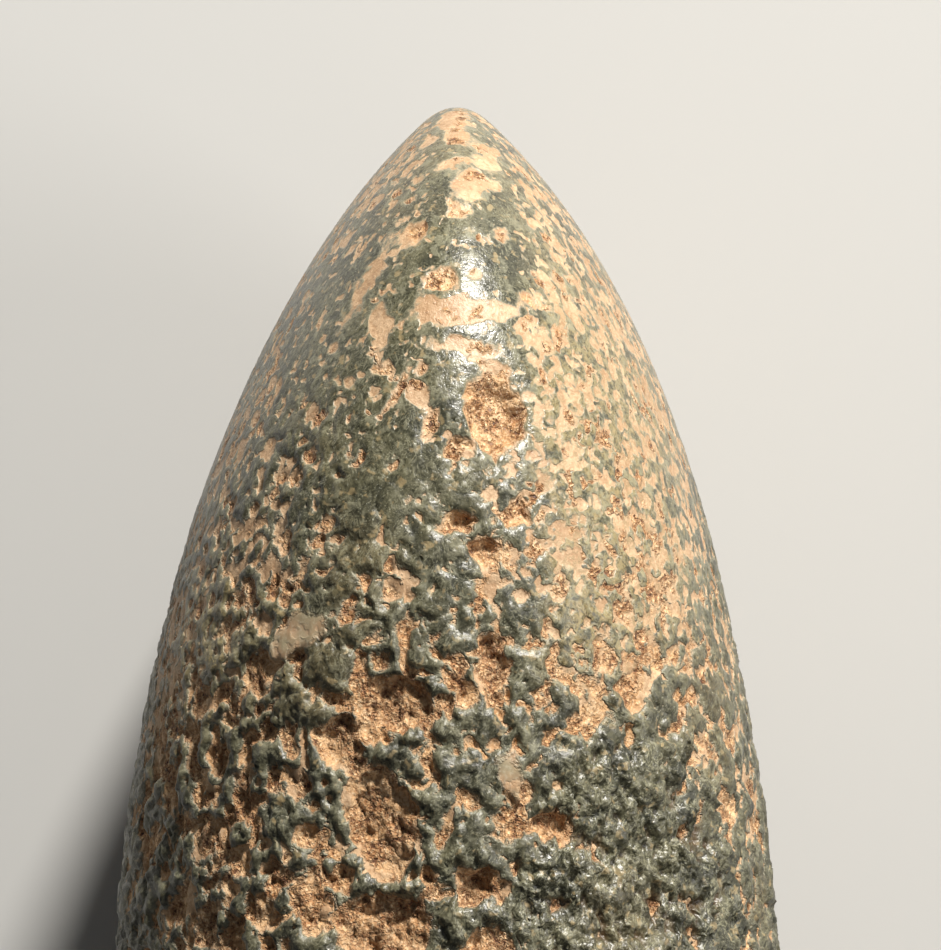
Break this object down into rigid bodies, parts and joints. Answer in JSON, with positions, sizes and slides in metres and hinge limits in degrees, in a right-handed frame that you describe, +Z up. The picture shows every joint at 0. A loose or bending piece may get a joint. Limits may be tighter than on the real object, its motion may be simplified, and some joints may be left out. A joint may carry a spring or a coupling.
{
  "type": "polished stone axe",
  "caption": "Solid greenstone axe head, thick and nearly round in section, with a polished curved cutting edge and a tapering rounded butt.",
  "frame": {"origin": "on the ground under the middle of the axe as it lies on its lower narrow side", "axes": "+X along the axe towards the cutting edge, Y across its thickness, +Z up across its width"},
  "size_m": [0.15, 0.045, 0.0529],
  "materials": {
    "greenstone": "dark green stone, polished at the bit, pecked and weathered on the body, with tan sand in its pits"
  },
  "bodies": {
    "root": {"axe_head": "greenstone"}
  },
  "joints": []
}
